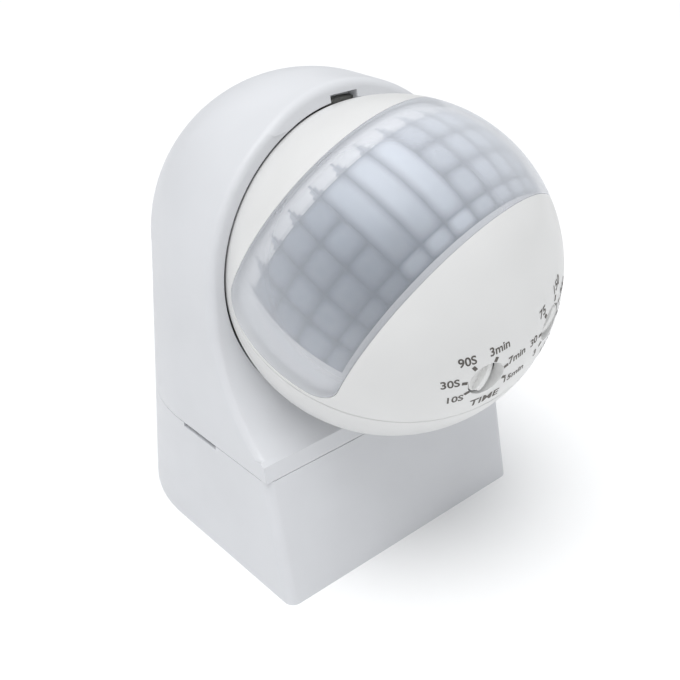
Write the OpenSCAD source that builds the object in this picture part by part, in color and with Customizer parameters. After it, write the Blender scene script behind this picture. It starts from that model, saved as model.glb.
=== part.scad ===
// Wall-mounted motion sensor: a ball-shaped sensor head clamped in an arched housing,
// over a terminal box with a pull-off cover. Millimetres. +Z is up, -Y is the front.
// The origin is halfway between the two wall-screw slots, on the wall face (y = 0).
// Inside the modules, heights are measured from the flat base; seated() lowers them.

/* [Housing] */
// Width of the housing, and twice the radius of its arch
body_w = 70; // [69.6:0.1:71]
// Depth of the terminal box at its foot, wall to front
base_d = 66; // [65.5:0.5:68]
// Height of the seam between the terminal cover and the upper housing
seam_z = 28.9; // [28:0.1:29]
// Height of the arch's centre above the base
arch_z = 65.6; // [65.2:0.1:66]
// How far the box's front face leans back per millimetre of height
lean = 0.233; // [0.22:0.001:0.24]
// Distance from the wall, at the base, where the outline starts to round in
round_d = 24.2; // [23.8:0.1:24.6]
// How far that start moves forward per millimetre of height
taper = 0.134; // [0.13:0.001:0.138]
// Wall thickness of the plastic shells
wall = 2.2; // [2:0.1:2.4]

/* [Sensor head] */
// Outer radius of the ball
ball_r = 34.26; // [34.2:0.01:34.3]
// Distance of the ball's centre from the wall
ball_y = 57.9; // [57.8:0.1:58.2]
// Height of the ball's centre
ball_z = 65.65; // [65.6:0.05:65.8]
// Gap between the ball and its socket
socket_gap = 0.39; // [0.35:0.01:0.45]
// How far the head is rolled to one side as it stands
roll = 17; // [-60:1:60]
// How far the lens looks up as it stands
look_up = 61; // [30:1:62]
// Half width of the lens belt
lens_half = 14.6; // [14:0.1:15]

/* [Clamp] */
// Radius of the hollow clamp stud
stud_r = 5; // [4.9:0.1:5.1]
// Radius of the stud's domed head
dome_r = 11.5; // [11:0.1:12]
// Radial clearance of the stud in the hub
run_gap = 0.05; // [0.02:0.01:0.09]

/* [Dials] */
// Distance of each dial from the middle plane
dial_x = 9.25; // [9:0.05:9.5]
// Angle between the dials' axes and the head's own vertical
dial_lean = 17.6; // [16:0.1:19]
// Radius of the dial windows in the shell
dial_hole_r = 3.75; // [3.7:0.05:3.9]
// Radius of the dials
dial_r = 3.42; // [3.3:0.02:3.46]

/* [Wall fixing] */
// Height of the slots above the base
fix_z = 46; // [45.5:0.5:46.5]
// Sideways distance between the slots
fix_dx = 12; // [11.5:0.5:12.5]
// Half width of a slot
fix_r = 2.25; // [2:0.05:2.3]
// End-to-end length of a slot
fix_len = 5.5; // [5:0.25:5.75]
// Radius of the cable's hole in the grommet
cable_r = 3.6; // [3:0.1:4]

/* [Hidden] */

$fn = 64;
eps = 0.02;
far = 200;

body_r = body_w / 2;
top_y = -round_d - taper * arch_z;      // where the arch starts to round in
floor_top = seam_z + wall;
rim_y = -44.1;                       // front plane of the arch's rim
ramp_r = 31.9;                       // concave ramp between the rim and the box's front
ramp_y = rim_y - ramp_r;
ramp_z = 59.05;
socket_r = ball_r + socket_gap;
cup_r = socket_r + wall;             // back of the socket's wall
hub_r = 11;
hub_back = -17.5;                    // where the hub's rear face lies
seam_gap = 0.15;
seal_r = 31.5;                       // wiper ring's groove: radius, place behind the centre, width
seal_y = 15.9;
seal_w = 1.8;

plate_t = 3;
plate_foot = wall + 0.5;
plate_wide = 21.3;                   // wall plate: half widths at its foot, shelf, slots and top
plate_hw = 16.4;
plate_mid = 11.6;
plate_tip = 5;
plate_top = 60;
rail_x = 14.9;                       // outer side of the rails that carry the cover's ledges
shelf_t = 2;
shelf_d = 14;
shelf_screw_x = 13.5;
shelf_screw_y = -9.5;

block_hw = 11;                       // terminal block: half width, foot, top and front
block_z0 = 15.6;
block_z1 = 26.4;
block_y = -19;
pole_pitch = 7;
cable_z = 9.2;
grommet_r = 5.6;
grommet_lip = 0.7;
lead_x = 2.1;

shell_in = ball_r - wall;            // inner radius of the two half shells
lip_r = shell_in + 1.05;
lens_t = 1.2;
lens_in = ball_r - lens_t;
lens_end = 1.2;                      // where the lens stops short of the parting plane
lens_corner = 5;
flange_out = shell_in - 0.08;
flange_in = shell_in - 1.06;
frame_out = flange_in - 0.1;
frame_in = frame_out - 1.9;
view_half = 11.4;                    // window in the retainer
view_y = -15.5;

dome_out = shell_in - 0.16;
dome_in = dome_out - 2.7;
slot_half = stud_r + 0.2;
key_half = stud_r - 0.1;
tilt_lo = -5;
tilt_hi = 90;
slot_margin = 12;

boss_x = 23.4;
boss_z = 18.6;
boss_r = 3;
seat_y = 6;

board_z = -9;
board_t = 1.6;
board_r = 26.2;
board_top = board_z + board_t / 2;
board_foot = board_z - board_t / 2;
post_x = 17;
post_y = -4;
pot_w = 9.5;
pot_h = 4.8;
dial_floor = -30.4;                  // face of the dial, below the board's frame centre
dial_top = -31.55;                   // crest of its grip bar
dial_back = -28.8;
time_turn = 39;                      // direction of each dial's pointer as it stands
lux_turn = 39;

// ---- frames ----
module seated() { translate([0, 0, -fix_z]) children(); }
module at_ball() { seated() translate([0, -ball_y, ball_z]) rotate([0, -roll, 0]) children(); }
module in_head() { at_ball() rotate([-look_up, 0, 0]) children(); }
module on_board() { in_head() rotate([-dial_lean, 0, 0]) children(); }
module along_y() { rotate([-90, 0, 0]) children(); }
module both_sides() {
  children();
  mirror([1, 0, 0]) children();
}

// ---- shapes that repeat ----
module bar_y(r, y0, y1) { translate([0, y0, 0]) along_y() cylinder(r = r, h = y1 - y0); }
module block(x0, x1, y0, y1, z0, z1) { translate([x0, y0, z0]) cube([x1 - x0, y1 - y0, z1 - z0]); }
module side_profile(half) {
  rotate([90, 0, 90]) translate([0, 0, -half]) linear_extrude(2 * half) children();
}
module shell_ball(r_out, r_in) {
  difference() {
    sphere(r = r_out, $fn = 96);
    sphere(r = r_in, $fn = 96);
  }
}
function arc(c, r, a0, a1, n) = [
  for (i = [0:n]) c + r * [cos(a0 + (a1 - a0) * i / n), sin(a0 + (a1 - a0) * i / n)]];

// Outline seen from above: straight sides, rounding in towards the wall.
module plan(r, y_front) {
  translate([-r, y_front]) square([2 * r, top_y - y_front]);
  intersection() {
    translate([0, top_y]) circle(r = r, $fn = 128);
    translate([-r, top_y]) square(2 * r);
  }
}
// Half of that outline, turned over the arch.
module arch_half(r, y_front) {
  rotate([90, 0, 0]) rotate_extrude(angle = 180, $fn = 128) {
    translate([0, -top_y]) square([r, top_y - y_front]);
    intersection() {
      translate([0, -top_y]) circle(r = r, $fn = 128);
      translate([0, -top_y - r]) square(r);
    }
  }
}
// The column from z0 to z1, its rear rounding leaning forward with height.
module column(r, z0, z1, y_front) {
  lean_in = [[1, 0, 0, 0], [0, 1, -taper, taper * (arch_z - z0 + 1)], [0, 0, 1, 0], [0, 0, 0, 1]];
  intersection() {
    translate([0, 0, z0 - 1]) multmatrix(lean_in) linear_extrude(z1 - z0 + 2) plan(r, y_front);
    block(-far, far, -far, far, z0, z1);
  }
}
module core(r, z0, y_front) {
  column(r, z0, arch_z, y_front - 10);
  translate([0, 0, arch_z]) arch_half(r, y_front);
}
// Everything in front of the leaning face, moved back by t.
module ahead_of_face(t) {
  side_profile(body_r + 5) polygon([
    [-far, -10], [-base_d + t - 10 * lean, -10], [-base_d + t + 110 * lean, 110], [-far, 110]]);
}
// Everything in front of the ramp and the arch's rim, moved back by t.
module ahead_of_rim(t) {
  side_profile(body_r + 5) difference() {
    translate([-far, -20]) square([far + rim_y + t, 160]);
    difference() {
      translate([-far - 1, -30]) square([far * 2, ramp_z + 30]);
      translate([ramp_y, ramp_z]) circle(r = ramp_r + t, $fn = 160);
    }
  }
}

// ================= housing =================
module upper_housing() color("whitesmoke") seated() difference() {
  union() {
    housing_skin();
    latch_rails();
    both_sides() shelf_boss();
    hook_rib();
  }
  at_socket() sphere(r = socket_r, $fn = 128);
  at_socket() bar_y(stud_r + run_gap, 20, 50);
  seal_groove();
  rim_notch();
  lead_hole();
  both_sides() translate([shelf_screw_x, shelf_screw_y, seam_z - 1]) cylinder(r = 1.25, h = 9);
}
module at_socket() { translate([0, -ball_y, ball_z]) children(); }
module housing_skin() {
  difference() {
    core(body_r, seam_z, -base_d);
    ahead_of_face(0);
    ahead_of_rim(0);
    difference() {
      core(body_r - wall, floor_top, -base_d);
      ahead_of_face(wall);
      ahead_of_rim(wall);
      at_socket() sphere(r = cup_r, $fn = 128);
      at_socket() bar_y(hub_r, 30, ball_y + hub_back);
      stop_arc();
    }
    block(-body_r, body_r, -eps, 20, 0, 120);
    block(-plate_hw - 0.3, plate_hw + 0.3, -plate_t - 0.1, 5, seam_z - 1, floor_top + 0.3);
  }
}
// Wide arc on the hub's rear face that stops the stud's keyed washer.
module stop_arc() {
  translate([0, hub_back - 1, ball_z]) along_y() rotate([0, 0, 15])
    rotate_extrude(angle = 150, $fn = 96) translate([8.7, 0]) square([hub_r - 8.9, 3]);
}
// Rails under the floor that carry the cover's ledges.
module latch_rails() {
  both_sides() {
    block(rail_x - 1.2, rail_x, -54, -27, seam_z - 3.5, seam_z + 0.5);
    block(rail_x - 1.2, rail_x + 1.3, -54, -27, seam_z - 3.5, seam_z - 2.5);
  }
}
module shelf_boss() {
  translate([shelf_screw_x, shelf_screw_y, seam_z]) cylinder(r = 3.2, h = 9);
}
module hook_rib() {
  intersection() {
    block(-10, 10, -1.3, -eps, plate_top + 0.3, plate_top + 4.5);
    core(body_r - 1, seam_z, -base_d);
  }
}
module seal_groove() {
  at_socket() difference() {
    bar_y(seal_r, seal_y, seal_y + seal_w);
    bar_y(27, seal_y - 1, seal_y + seal_w + 1);
  }
}
module rim_notch() { block(-3.4, 3.6, rim_y - 2, -40.5, ball_z + 30, ball_z + 32.7); }
module lead_hole() { translate([0, -9, seam_z - 1]) cylinder(r = 7, h = 4); }

module wall_plate() color("gainsboro") seated() difference() {
  union() {
    plate_slab(0, -plate_t, 0);
    block(-plate_hw + 0.4, plate_hw - 0.4, -shelf_d, -plate_t + 1, seam_z - 0.05 - shelf_t, seam_z - 0.05);
    block(-plate_tip + 1, plate_tip - 1, -plate_t, -1.5, plate_top - 1, plate_top + 3.5);
  }
  for (sx = [-1, 1]) translate([sx * fix_dx / 2, 0, fix_z]) fixing_slot();
  translate([0, 0, cable_z]) bar_y(grommet_r, -plate_t - 1, 1);
  translate([0, 0, cable_z]) bar_y(grommet_r + grommet_lip + 0.1, -1.2, 1);
  translate([0, -9, seam_z - 3]) cylinder(r = 8, h = 4);
  both_sides() translate([shelf_screw_x, shelf_screw_y, seam_z - 4]) cylinder(r = 1.45, h = 5);
  both_sides() translate([pole_pitch / 2, 0, block_z0 + 6]) bar_y(1.05, -plate_t - 1, -0.6);
}
module fixing_slot() {
  run = fix_len / 2 - fix_r;
  both_sides() translate([run, 0, 0]) bar_y(fix_r, -plate_t - 1, 1);
  block(-run, run, -plate_t - 1, 1, -fix_r, fix_r);
}
// The plate's outline, drawn in by inset, from y0 to y1.
module plate_slab(inset, y0, y1) {
  translate([0, y1, 0]) rotate([90, 0, 0]) linear_extrude(y1 - y0) polygon([
    [inset - plate_wide, plate_foot], [plate_wide - inset, plate_foot],
    [plate_hw - inset, seam_z - 0.9], [plate_mid - inset, fix_z],
    [plate_tip - inset, plate_top - inset], [inset - plate_tip, plate_top - inset],
    [inset - plate_mid, fix_z], [inset - plate_hw, seam_z - 0.9]]);
}

module plate_seal() color("dimgray") seated() difference() {
  plate_slab(0.3, -4.2, -plate_t);
  plate_slab(2.4, -5, -2);
  block(-30, 30, -6, 0, 0, floor_top + 0.1);
}

// Ribbed wiper ring in the socket's mouth; a stretch of it shows in the rim's notch.
module ball_seal() color("dimgray") seated() at_socket() rotate([90, 0, 0])
  rotate_extrude($fn = 128) difference() {
    translate([28, 0.05 - seal_y - seal_w]) square([seal_r - 28.1, seal_w - 0.1]);
    circle(r = ball_r + 0.12, $fn = 160);
  }

module screw_up(head_r, head_h, shank_r, len) {
  translate([0, 0, -head_h]) cylinder(r = head_r, h = head_h);
  translate([0, 0, -eps]) cylinder(r = shank_r, h = len);
}
module cross_recess(head_h) {
  for (a = [0, 90]) translate([0, 0, -head_h]) rotate([0, 0, a]) cube([2.4, 0.6, 1.6], center = true);
}
module housing_screws() color("silver") seated() for (sx = [-1, 1])
  translate([sx * shelf_screw_x, shelf_screw_y, seam_z - 0.1 - shelf_t]) difference() {
    screw_up(2.3, 2, 1.2, 9);
    cross_recess(2);
  }

module cable_grommet() color("dimgray") seated() translate([0, 0, cable_z]) difference() {
  union() {
    bar_y(grommet_r - 0.05, -plate_t - 2.2, 0);
    bar_y(grommet_r + grommet_lip, -1.15, 0);
    bar_y(grommet_r + grommet_lip, -plate_t - 2.2, -plate_t - 0.05);
  }
  bar_y(cable_r, -plate_t - 5, 1);
}

module terminal_block() color("ivory") seated() difference() {
  block(-block_hw, block_hw, block_y, -plate_t - 0.05, block_z0, block_z1);
  for (k = [-1:1]) translate([k * pole_pitch, -11.5, block_z0 - 1]) {
    translate([-2.3, -2.6, 0]) cube([4.6, 5.2, block_z1 - block_z0 + 2]);
    translate([0, 0, 7]) bar_y(2.2, -9, 0);
  }
  both_sides() translate([pole_pitch / 2, 0, block_z0 + 6]) {
    bar_y(0.95, block_y - 1, 1);
  }
}
module terminal_clamps() color("gold") seated() for (k = [-1:1])
  translate([k * pole_pitch, -11.5, block_z0 + 1.2]) difference() {
    translate([-2.2, -2.5, 0]) cube([4.4, 5, block_z1 - block_z0 - 2.4]);
    translate([0, 0.4, -1]) cylinder(r = 1.3, h = 20);
    translate([0, 0, 4.8]) bar_y(1.3, -4, 0);
  }
module terminal_screws() color("silver") seated() for (k = [-1:1])
  translate([k * pole_pitch, 0, block_z0 + 6]) difference() {
    union() {
      bar_y(2, block_y + 1.5, -14.2);
      bar_y(1.25, block_y + 2, -12.6);
    }
    block(-2.5, 2.5, block_y, block_y + 2.3, -0.35, 0.35);
  }
module block_screws() color("silver") seated() both_sides()
  translate([pole_pitch / 2, 0, block_z0 + 6]) difference() {
    union() {
      bar_y(1.25, block_y - 1.2, block_y - 0.05);
      bar_y(0.9, block_y - 0.5, -0.9);
    }
    block(-0.9, 0.9, block_y - 2, block_y - 0.7, -0.2, 0.2);
  }

// Three insulated leads from the stud's mouth down to the terminal block.
module lead_wires() color("steelblue") seated() for (k = [-1:1]) {
  lead(k);
}
module lead(k) {
  x = k * lead_x;
  route = [[x, -22, ball_z], [x, -7.2, ball_z], [x, -5.3, ball_z - 1.9], [x, -5.3, 33],
    [k * pole_pitch, -11.1, block_z1 - 0.2]];
  for (i = [0:3]) strut(route[i], route[i + 1], 0.9);
  for (i = [1:3]) translate(route[i]) sphere(r = 0.98, $fn = 32);
}
module strut(a, b, r) {
  d = b - a;
  translate(a) rotate([0, acos(d[2] / norm(d)), atan2(d[1], d[0])]) cylinder(r = r, h = norm(d), $fn = 32);
}

// ================= terminal cover =================
module terminal_cover() color("whitesmoke") seated() difference() {
  union() {
    difference() {
      cover_block(body_r, 0, seam_z - seam_gap, 0);
      cover_block(body_r - wall, wall, seam_z + 5, wall);
    }
    both_sides() intersection() {
      block(rail_x + 0.4, body_r - 1, -53, -28, seam_z - 2.15, seam_z - 0.9);
      cover_block(body_r - 0.5, 1, seam_z, 0.5);
    }
    both_sides() block(24, 25.5, -60, -40, 1, 6);
  }
  both_sides() block(body_r - wall - 0.5, body_r + 1, -41.5, -29.5, seam_z - 1.1, seam_z + 1);
}
module cover_block(r, z0, z1, t) {
  difference() {
    column(r, z0, z1, -base_d - 12);
    ahead_of_face(t);
    if (t == 0) block(-body_r, body_r, -eps, 20, -5, 60);
  }
}

// ================= clamp (turns with the head's roll) =================
module clamp_stud() color("lightgray") at_ball() difference() {
  union() {
    intersection() {
      shell_ball(dome_out, dome_in);
      bar_y(dome_r, 20, 40);
    }
    intersection() {
      bar_y(stud_r + 1, dome_in + 0.5, 40);
      sphere(r = socket_r - 0.15, $fn = 96);
      block(-key_half, key_half, 20, 50, -10, 10);
    }
    bar_y(stud_r, dome_in + 0.5, ball_y - 8.6);
  }
  bar_y(3.1, 20, ball_y);
  block(-6, 6, ball_y - 17.6, ball_y, stud_r - 0.7, 8);
}
module stop_washer() color("silver") at_ball() difference() {
  union() {
    bar_y(8.2, ball_y + hub_back + 0.1, ball_y + hub_back + 1.3);
    block(-1.6, 1.6, ball_y + hub_back + 0.1, ball_y + hub_back + 1.3, 7, 10.8);
  }
  difference() {
    bar_y(stud_r + 0.05, 35, 50);
    block(-6, 6, 30, 60, stud_r - 0.65, 8);
  }
}
module wave_washer() color("silver") at_ball() difference() {
  bar_y(8, ball_y + hub_back + 1.4, ball_y + hub_back + 2.3);
  bar_y(stud_r + 0.15, 30, 60);
}
module clamp_nut() color("silver") at_ball() difference() {
  translate([0, ball_y + hub_back + 2.4, 0]) along_y() cylinder(r = 8.66, h = 5, $fn = 6);
  bar_y(stud_r + 0.05, 30, 60);
}

// ================= sensor head =================
// Belt-shaped window seen from the side: grow widens it all round.
module belt(grow) {
  h = lens_half + grow;
  e = -lens_end + grow;
  side_profile(ball_r + 5) polygon(concat(
    [[-far, -h]],
    arc([e - lens_corner, -h + lens_corner], lens_corner, -90, 0, 10),
    arc([e - lens_corner, h - lens_corner], lens_corner, 0, 90, 10),
    [[-far, h]]));
}
// Half section of a ball-shaped wall, turned about the lens axis.
module turned() { rotate([90, 0, 0]) rotate_extrude($fn = 128) children(); }
module half_disc(r, y0, y1) {
  intersection() {
    circle(r = r, $fn = 192);
    translate([0, -y1]) square([r, y1 - y0]);
  }
}
module at_bosses() {
  for (sx = [-1, 1], sz = [-1, 1]) translate([sx * boss_x, 0, sz * boss_z]) children();
}
module front_shell() color("whitesmoke") in_head() difference() {
  union() {
    turned() difference() {
      union() {
        half_disc(ball_r, -40, 0);
        half_disc(lip_r, -5, 1.5);
      }
      circle(r = shell_in, $fn = 192);
    }
    intersection() {
      sphere(r = ball_r - 1.3, $fn = 96);
      union() {
        at_bosses() bar_y(boss_r, -13, 0);
        both_sides() rotate([-dial_lean, 0, 0]) translate([post_x, post_y, -35])
          cylinder(r = 2.6, h = 35 + board_foot);
      }
    }
  }
  belt(0);
  rotate([-dial_lean, 0, 0]) {
    both_sides() translate([dial_x, 0, -40]) cylinder(r = dial_hole_r, h = 16);
    both_sides() translate([post_x, post_y, -18]) cylinder(r = 1.1, h = 12);
  }
  at_bosses() bar_y(1.1, -9, 1);
}
module rear_shell() color("whitesmoke") in_head() difference() {
  union() {
    turned() difference() {
      half_disc(ball_r, 0.1, 40);
      circle(r = shell_in, $fn = 192);
    }
    intersection() {
      sphere(r = ball_r - 1.3, $fn = 96);
      at_bosses() bar_y(boss_r, 0.1, 30);
    }
  }
  turned() difference() {
    half_disc(lip_r + 0.1, -2, 1.7);
    circle(r = shell_in - 1.5, $fn = 192);
  }
  tilt_slot();
  at_bosses() {
    bar_y(1.45, -1, 40);
    bar_y(2.5, seat_y, 40);
  }
}
// Slot in the rear shell that the keyed stud slides along as the head tilts.
module tilt_slot() {
  a0 = look_up - tilt_hi - slot_margin;
  a1 = look_up - tilt_lo + slot_margin;
  side_profile(slot_half) polygon(concat([[0, 0]], [for (i = [0:12]) slot_point(a0 + (a1 - a0) * i / 12)]));
}
function slot_point(a) = 45 * [cos(a), sin(a)];
module shell_screws() color("silver") in_head()
  for (sx = [-1, 1], sz = [-1, 1]) translate([sx * boss_x, 0, sz * boss_z]) difference() {
    union() {
      bar_y(2.3, seat_y + 0.05, seat_y + 1.8);
      bar_y(1.05, -8, seat_y + 0.5);
    }
    for (a = [0, 90]) translate([0, seat_y + 1.8, 0]) rotate([0, a, 0]) cube([2, 1.4, 0.5], center = true);
  }

module lens() color("lightsteelblue", 0.6) in_head() {
  intersection() {
    shell_ball(ball_r, lens_in);
    belt(-0.1);
  }
  intersection() {
    shell_ball(lens_in + 0.05, flange_in);
    difference() {
      belt(-0.1);
      belt(-1.3);
    }
  }
  intersection() {
    shell_ball(flange_out, flange_in);
    difference() {
      belt(0.9);
      belt(-1.3);
    }
    block(-40, 40, -40, -0.2, -40, 40);
  }
}
module lens_retainer() color("white") in_head() difference() {
  intersection() {
    shell_ball(frame_out, frame_in);
    belt(-0.7);
  }
  block(-40, 40, -60, view_y, -view_half, view_half);
}

module main_board() color("darkgreen") on_board() difference() {
  translate([0, 0, board_foot]) cylinder(r = board_r, h = board_t, $fn = 96);
  both_sides() translate([post_x, post_y, board_z - 3]) cylinder(r = 1.4, h = 6);
  both_sides() translate([dial_x, 0, board_z - 3]) cylinder(r = 1, h = 6);
}
module board_screws() color("silver") on_board() for (sx = [-1, 1])
  translate([sx * post_x, post_y, board_top + 0.03]) difference() {
    mirror([0, 0, 1]) screw_up(2.2, 1.6, 1.05, 8);
    for (a = [0, 90]) translate([0, 0, 1.6]) rotate([0, 0, a]) cube([2, 0.5, 1.2], center = true);
  }
module pir_board() color("darkgreen") in_head() block(-12.5, 12.5, -1.6, -0.4, -6.2, 9.5);
module header_pins() color("gold") in_head() for (k = [-2:2])
  block(k * 2.54 - 0.32, k * 2.54 + 0.32, -2.3, -1.65, -7.7, -4.8);
module pir_element() color("silver") in_head() difference() {
  union() {
    bar_y(4.6, -2.3, -1.65);
    bar_y(4.1, -6, -2);
  }
  block(-2, 2, -7, -5.7, -1.5, 1.5);
}
module photocell() color("tan") in_head() translate([8.6, 0, 3.5]) bar_y(2.5, -3.7, -1.65);
module status_led() color("salmon") in_head() translate([-8.6, 0, 3.5]) {
  bar_y(1.9, -2.6, -1.65);
  bar_y(1.5, -5, -2.5);
  translate([0, -5, 0]) sphere(r = 1.5, $fn = 32);
}
module relay() color("dodgerblue") on_board() block(-19, -4, 5, 16, board_top + 0.05, board_top + 13.5);
module mains_capacitor() color("goldenrod") on_board() block(2, 15, 4, 9, board_top + 0.05, board_top + 11);
module electrolytic_capacitor() color("midnightblue") on_board()
  translate([9, 15, board_top + 0.05]) difference() {
    cylinder(r = 4, h = 11.5);
    translate([0, 0, 1.6]) rotate_extrude() translate([4.1, 0]) circle(r = 0.45, $fn = 24);
  }
module varistor() color("steelblue") on_board() translate([-2, 19.5, board_top + 5]) {
  bar_y(4, -1.5, 1.5);
  for (sx = [-1, 1]) translate([sx * 2.5, 0, -5]) cylinder(r = 0.35, h = 3, $fn = 24);
}

module pot(x) {
  on_board() difference() {
    translate([x - pot_w / 2, -pot_w / 2, board_foot - 0.05 - pot_h]) cube([pot_w, pot_w, pot_h]);
    translate([x, 0, board_foot - pot_h - 2]) cylinder(r = 2.05, h = 4.5);
  }
}
module time_pot() color("royalblue") pot(-dial_x);
module lux_pot() color("royalblue") pot(dial_x);

// Dial: a disc on a shaft, with a grip bar across it and a short pointer beside the bar.
module dial(x, turn) {
  on_board() translate([x, 0, 0]) rotate([0, 0, turn]) {
    translate([0, 0, dial_floor]) cylinder(r = dial_r, h = dial_back - dial_floor);
    translate([0, 0, dial_back - 0.5]) cylinder(r = 2, h = board_foot - pot_h + 2 - dial_back);
    intersection() {
      block(-0.62, 0.62, -4, 4, dial_top, dial_floor + 0.5);
      translate([0, 0, dial_top - 1]) cylinder(r = dial_r, h = 5);
    }
    block(1.7, dial_r - 0.1, -0.22, 0.22, dial_floor - 0.3, dial_floor + 0.3);
  }
}
module time_dial() color("white") dial(-dial_x, time_turn);
module lux_dial() color("white") dial(dial_x, lux_turn);

upper_housing();
wall_plate();
plate_seal();
ball_seal();
housing_screws();
cable_grommet();
terminal_block();
terminal_clamps();
terminal_screws();
block_screws();
lead_wires();
terminal_cover();
clamp_stud();
stop_washer();
wave_washer();
clamp_nut();
front_shell();
rear_shell();
shell_screws();
lens();
lens_retainer();
main_board();
board_screws();
pir_board();
header_pins();
pir_element();
photocell();
status_led();
relay();
mains_capacitor();
electrolytic_capacitor();
varistor();
time_pot();
lux_pot();
time_dial();
lux_dial();
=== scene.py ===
"""Wall-mounted motion sensor: the finished look of every piece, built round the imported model.

Each operator makes one piece or one group of like pieces. The panel in the 3D view's sidebar lists
them in the order in which main() runs them. All lengths are in metres, in the model's own frame:
+Z is up, -Y is the front, and the wall face is y = 0.
"""
import math

import bmesh
import bpy
from mathutils import Matrix, Vector


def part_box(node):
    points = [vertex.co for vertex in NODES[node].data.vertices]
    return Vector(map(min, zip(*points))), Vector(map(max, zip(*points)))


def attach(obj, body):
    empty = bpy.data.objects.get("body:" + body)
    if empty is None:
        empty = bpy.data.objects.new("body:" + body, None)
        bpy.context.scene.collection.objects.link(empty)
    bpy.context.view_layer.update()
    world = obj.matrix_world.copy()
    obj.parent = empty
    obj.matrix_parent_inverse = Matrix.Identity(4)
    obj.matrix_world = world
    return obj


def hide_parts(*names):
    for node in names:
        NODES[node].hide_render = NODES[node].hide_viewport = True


bl_info = {
    "name": "Motion sensor",
    "version": (1, 0, 0),
    "blender": (4, 5, 0),
    "location": "3D View > Sidebar > Motion sensor",
    "description": "Builds the pieces, finishes and stage of a wall-mounted motion sensor",
    "category": "Object",
}

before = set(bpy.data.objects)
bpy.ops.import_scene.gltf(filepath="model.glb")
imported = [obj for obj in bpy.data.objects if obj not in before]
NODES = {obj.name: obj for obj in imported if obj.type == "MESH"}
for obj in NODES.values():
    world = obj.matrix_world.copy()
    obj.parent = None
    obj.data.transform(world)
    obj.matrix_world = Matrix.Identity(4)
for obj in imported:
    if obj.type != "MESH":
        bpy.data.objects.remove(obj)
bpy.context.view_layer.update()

MM = 0.001
X_AXIS, Y_AXIS, Z_AXIS = Vector((1, 0, 0)), Vector((0, 1, 0)), Vector((0, 0, 1))
ORIGIN = Vector((0, 0, 0))

RAIL_DROP = 3.5 * MM                   # the housing's rails hang this far below the seam
FLOOR_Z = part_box("terminal_cover")[0].z
SEAM_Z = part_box("upper_housing")[0].z + RAIL_DROP
HALF_WIDTH = 35 * MM

BALL_CENTRE = Vector((0, -57.9, 19.65)) * MM
BALL_R = 34.26 * MM
SHELL_WALL = 2.2 * MM
LENS_WALL = 1.2 * MM
BELT_HALF = 14.6 * MM                  # half the lens belt's width
BELT_END = 1.2 * MM                    # how far in front of the parting plane the belt ends
BELT_CORNER = 5 * MM
# The head's own frame: -Y looks out through the middle of the belt, and X runs along the belt.
HEAD = (Matrix.Translation(BALL_CENTRE) @ Matrix.Rotation(math.radians(-17), 4, "Y")
        @ Matrix.Rotation(math.radians(-61), 4, "X"))
BOARD_LEAN = Matrix.Rotation(math.radians(-17.6), 4, "X")
DIAL_X = 9.25 * MM
DIAL_HOLE_R = 3.75 * MM

SHARP = math.radians(32)               # edges that turn more than this are shaded as sharp
FLAT = math.radians(0.05)              # faces that meet at less than this are one flat face
SAME_POINT = 1e-7                      # corners nearer than this are merged
BALL_STEPS = 192

CAMERA_PLACE = (-0.126905, -0.18536, 0.105046)
CAMERA_AZIMUTH, CAMERA_HEIGHT, CAMERA_LEAN = (math.radians(a) for a in (-41.516, 29.727, -0.13))


# ---------------------------------------------------------------- settings


class StageSettings(bpy.types.PropertyGroup):
    floor_colour: bpy.props.FloatVectorProperty(
        name="Floor colour", description="Colour of the plain floor", subtype="COLOR",
        size=3, min=0, max=1, default=(0.97, 0.97, 0.97))
    sky_strength: bpy.props.FloatProperty(
        name="Room light", description="Strength of the even light from above",
        default=0.92, min=0)
    horizon_share: bpy.props.FloatProperty(
        name="Horizon share", description="Share of the room light that comes in level with the floor",
        default=0.26, min=0, max=1, subtype="FACTOR")
    lamp_power: bpy.props.FloatProperty(
        name="Softbox power", description="Power of the large soft lamp above on the left",
        default=76.0, min=0, unit="POWER")
    lens_length: bpy.props.FloatProperty(
        name="Focal length", description="Focal length of the camera's lens",
        default=51.55, unit="CAMERA")


class ShellSettings(bpy.types.PropertyGroup):
    housing_colour: bpy.props.FloatVectorProperty(
        name="Housing colour", description="Colour of the housing's satin plastic",
        subtype="COLOR", size=3, min=0, max=1, default=(0.70, 0.71, 0.735))
    head_colour: bpy.props.FloatVectorProperty(
        name="Head colour", description="Colour of the ball's half shells",
        subtype="COLOR", size=3, min=0, max=1, default=(0.755, 0.755, 0.75))
    rim_fillet: bpy.props.FloatProperty(
        name="Rim fillet", description="Rounding of the outer edge of the arch's rim",
        default=1.6 * MM, min=0, unit="LENGTH")
    box_fillet: bpy.props.FloatProperty(
        name="Box fillet", description="Rounding of the terminal box's upright front edges",
        default=2.2 * MM, min=0, unit="LENGTH")


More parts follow.
